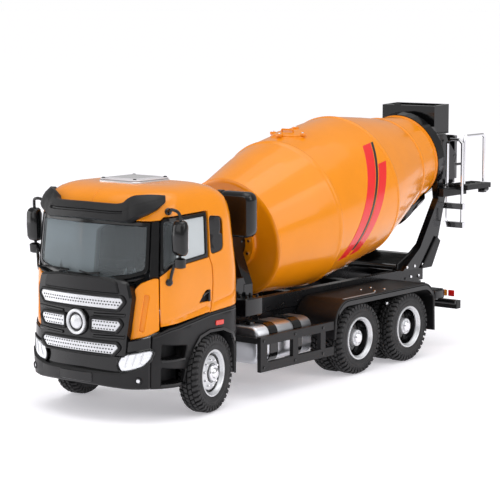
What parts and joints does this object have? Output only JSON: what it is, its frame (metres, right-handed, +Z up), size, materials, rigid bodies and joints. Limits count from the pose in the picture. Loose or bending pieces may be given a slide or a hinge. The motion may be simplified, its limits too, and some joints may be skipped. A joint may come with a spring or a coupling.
{
  "type": "toy concrete mixer truck",
  "caption": "Toy concrete mixer truck with a turning drum, steered and rolling wheels, opening doors and a chute that swings and folds.",
  "frame": {"origin": "on the ground under the middle of the truck's overall box", "axes": "-Y forwards, +X to the truck's left, +Z up"},
  "size_m": [0.06, 0.1838, 0.0762],
  "materials": {
    "paint": "gloss orange-yellow enamel",
    "plastic": "satin black moulded plastic",
    "gloss_black": "glossy black moulded plastic",
    "chassis": "semi-gloss black enamel",
    "cabin": "matte dark grey moulded plastic",
    "glass": "clear moulded glazing",
    "lamp": "clear lens over a silver reflector",
    "hatch": "translucent smoke plastic",
    "plated": "silver plated plastic",
    "tank": "satin silver",
    "chrome": "bright plated wire",
    "steel": "bare steel pin",
    "rubber": "matte black rubber"
  },
  "bodies": {
    "root": {"chassis_frame": "chassis", "subframe": "chassis", "front_bumper": "plastic", "grille_panel": "plastic", "grille_insert": "plated", "headlight_left": "lamp", "headlight_right": "lamp", "cab_shell": "paint", "interior_tub": "cabin", "steering_wheel": "cabin", "windscreen": "glass", "sun_visor": "plastic", "wiper_left": "plastic", "wiper_right": "plastic", "roof_hatch": "hatch", "air_intake": "gloss_black", "front_fender_left": "plastic", "front_fender_right": "plastic", "fuel_tank": "tank", "battery_box": "gloss_black", "side_guard_left": "plastic", "side_guard_right": "plastic", "front_axle": "chassis", "rear_fender_left": "plastic", "rear_fender_right": "plastic", "rear_bumper": "plastic", "front_pedestal": "gloss_black", "drive_hub": "gloss_black", "rear_pedestal": "gloss_black", "hopper": "gloss_black", "discharge_funnel": "gloss_black", "platform": "plastic", "ladder": "chrome", "guard_rail": "chrome"},
    "drum": {"drum_shell": "paint", "drum_hatch": "paint"},
    "chute_swivel": {"chute_bracket": "gloss_black"},
    "chute": {"chute": "gloss_black"},
    "knuckle_left": {"knuckle_left": "chassis"},
    "wheel_front_left": {"rim_front_left": "plated", "tyre_front_left": "rubber"},
    "door_left": {"door_left": "paint", "door_glass_left": "glass", "mirror_left": "plastic"},
    "knuckle_right": {"knuckle_right": "chassis"},
    "wheel_front_right": {"rim_front_right": "plated", "tyre_front_right": "rubber"},
    "door_right": {"door_right": "paint", "door_glass_right": "glass", "mirror_right": "plastic"},
    "rear_wheels_1": {"rear_axle_1": "steel", "rim_rear_1_left": "plated", "rim_rear_1_right": "plated", "tyre_rear_1_left": "rubber", "tyre_rear_1_right": "rubber"},
    "rear_wheels_2": {"rear_axle_2": "steel", "rim_rear_2_left": "plated", "rim_rear_2_right": "plated", "tyre_rear_2_left": "rubber", "tyre_rear_2_right": "rubber"}
  },
  "joints": [
    {"name": "steer_left", "type": "hinge", "parent": "root", "child": "knuckle_left", "pos_m": [0.0172, -0.06467, 0.0107], "axis": [0, 0, 1], "range_deg": [-31, 9]},
    {"name": "wheel_front_left_spin", "type": "hinge", "parent": "knuckle_left", "child": "wheel_front_left", "pos_m": [0.02172, -0.0638, 0.0107], "axis": [0.9816, 0.1908, 0], "continuous": true},
    {"name": "door_left_hinge", "type": "hinge", "parent": "root", "child": "door_left", "pos_m": [0.0236, -0.08207, 0.0408], "axis": [0, 0, -1], "range_deg": [0, 60]},
    {"name": "steer_right", "type": "hinge", "parent": "root", "child": "knuckle_right", "pos_m": [-0.0172, -0.06467, 0.0107], "axis": [0, 0, 1], "range_deg": [-31, 9]},
    {"name": "wheel_front_right_spin", "type": "hinge", "parent": "knuckle_right", "child": "wheel_front_right", "pos_m": [-0.02172, -0.06555, 0.0107], "axis": [0.9816, 0.1908, 0], "continuous": true},
    {"name": "door_right_hinge", "type": "hinge", "parent": "root", "child": "door_right", "pos_m": [-0.0236, -0.08207, 0.0408], "axis": [0, 0, 1], "range_deg": [0, 60]},
    {"name": "rear_axle_1_spin", "type": "hinge", "parent": "root", "child": "rear_wheels_1", "pos_m": [0, 0.00463, 0.0107], "axis": [1, 0, 0], "continuous": true},
    {"name": "rear_axle_2_spin", "type": "hinge", "parent": "root", "child": "rear_wheels_2", "pos_m": [0, 0.03053, 0.0107], "axis": [1, 0, 0], "continuous": true},
    {"name": "drum_spin", "type": "hinge", "parent": "root", "child": "drum", "pos_m": [0, -0.02577, 0.0416], "axis": [0, 0.9806, 0.1959], "continuous": true},
    {"name": "chute_turn", "type": "hinge", "parent": "root", "child": "chute_swivel", "pos_m": [0, 0.08847, 0.049], "axis": [0, 0, 1], "range_deg": [-20, 75]},
    {"name": "chute_fold", "type": "hinge", "parent": "chute_swivel", "child": "chute", "pos_m": [0, 0.09157, 0.05085], "axis": [-1, 0, 0], "range_deg": [0, 110]}
  ],
  "couplings": [
    {"joint": "steer_right", "follows": "steer_left", "ratio": 1}
  ]
}
